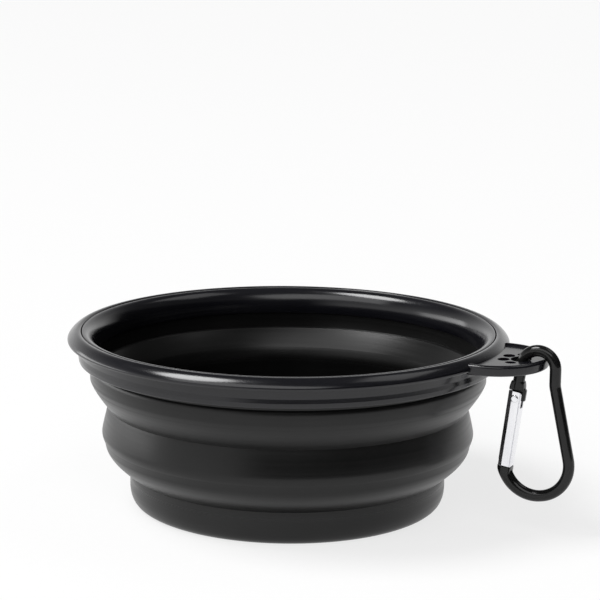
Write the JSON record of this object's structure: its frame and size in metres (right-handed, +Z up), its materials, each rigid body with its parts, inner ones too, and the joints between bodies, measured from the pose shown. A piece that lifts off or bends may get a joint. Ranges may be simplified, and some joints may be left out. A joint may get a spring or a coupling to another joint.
{
  "type": "collapsible pet bowl",
  "caption": "Collapsible silicone pet bowl with stepped folding walls, a glossy plastic rim with a hanging tab and paw-shaped hole, and a wire carabiner with a sprung gate.",
  "frame": {"origin": "centre of the base's flat underside, where the bowl stands", "axes": "+Z up out of the bowl's mouth, +X out along the hanging tab, +Y to the left of the tab"},
  "size_m": [0.154, 0.13, 0.0553],
  "materials": {
    "silicone": "satin black silicone",
    "rim_plastic": "gloss black polypropylene",
    "black_anodised": "gloss black anodised",
    "bare_aluminium": "bright satin",
    "spring_steel": "drawn wire"
  },
  "bodies": {
    "base": {"bowl_base": "silicone", "bowl_lower_fold": "silicone"},
    "band": {"bowl_band": "silicone", "bowl_upper_fold": "silicone"},
    "rim": {"rim_frame": "rim_plastic", "rim_liner": "rim_plastic", "bowl_collar": "silicone"},
    "carabiner": {"carabiner_body": "black_anodised"},
    "gate": {"carabiner_gate": "bare_aluminium", "gate_rivet": "bare_aluminium", "gate_spring": "spring_steel"},
    "plunger": {"gate_plunger": "spring_steel"}
  },
  "joints": [
    {"name": "lower_fold_slide", "type": "slide", "parent": "base", "child": "band", "axis": [0, 0, -1], "range_m": [0, 0.017], "deforming": ["bowl_lower_fold"]},
    {"name": "upper_fold_slide", "type": "slide", "parent": "band", "child": "rim", "axis": [0, 0, -1], "range_m": [0, 0.0208], "deforming": ["bowl_upper_fold"]},
    {"name": "carabiner_swing", "type": "hinge", "parent": "rim", "child": "carabiner", "pos_m": [0.0775, 0, 0.04865], "axis": [0, -1, 0], "range_deg": [-15, 110]},
    {"name": "gate_hinge", "type": "hinge", "parent": "carabiner", "child": "gate", "pos_m": [0.0712, 0, 0.0394], "axis": [0, -1, 0], "range_deg": [0, 30], "stiffness_Nm_per_rad": 0.01, "springref_deg": -85.94},
    {"name": "plunger_slide", "type": "slide", "parent": "gate", "child": "plunger", "axis": [-0.1248, 0, -0.9922], "range_m": [0, 0.00045], "stiffness_N_per_m": 10, "springref_m": -0.001, "deforming": ["gate_spring"]}
  ]
}
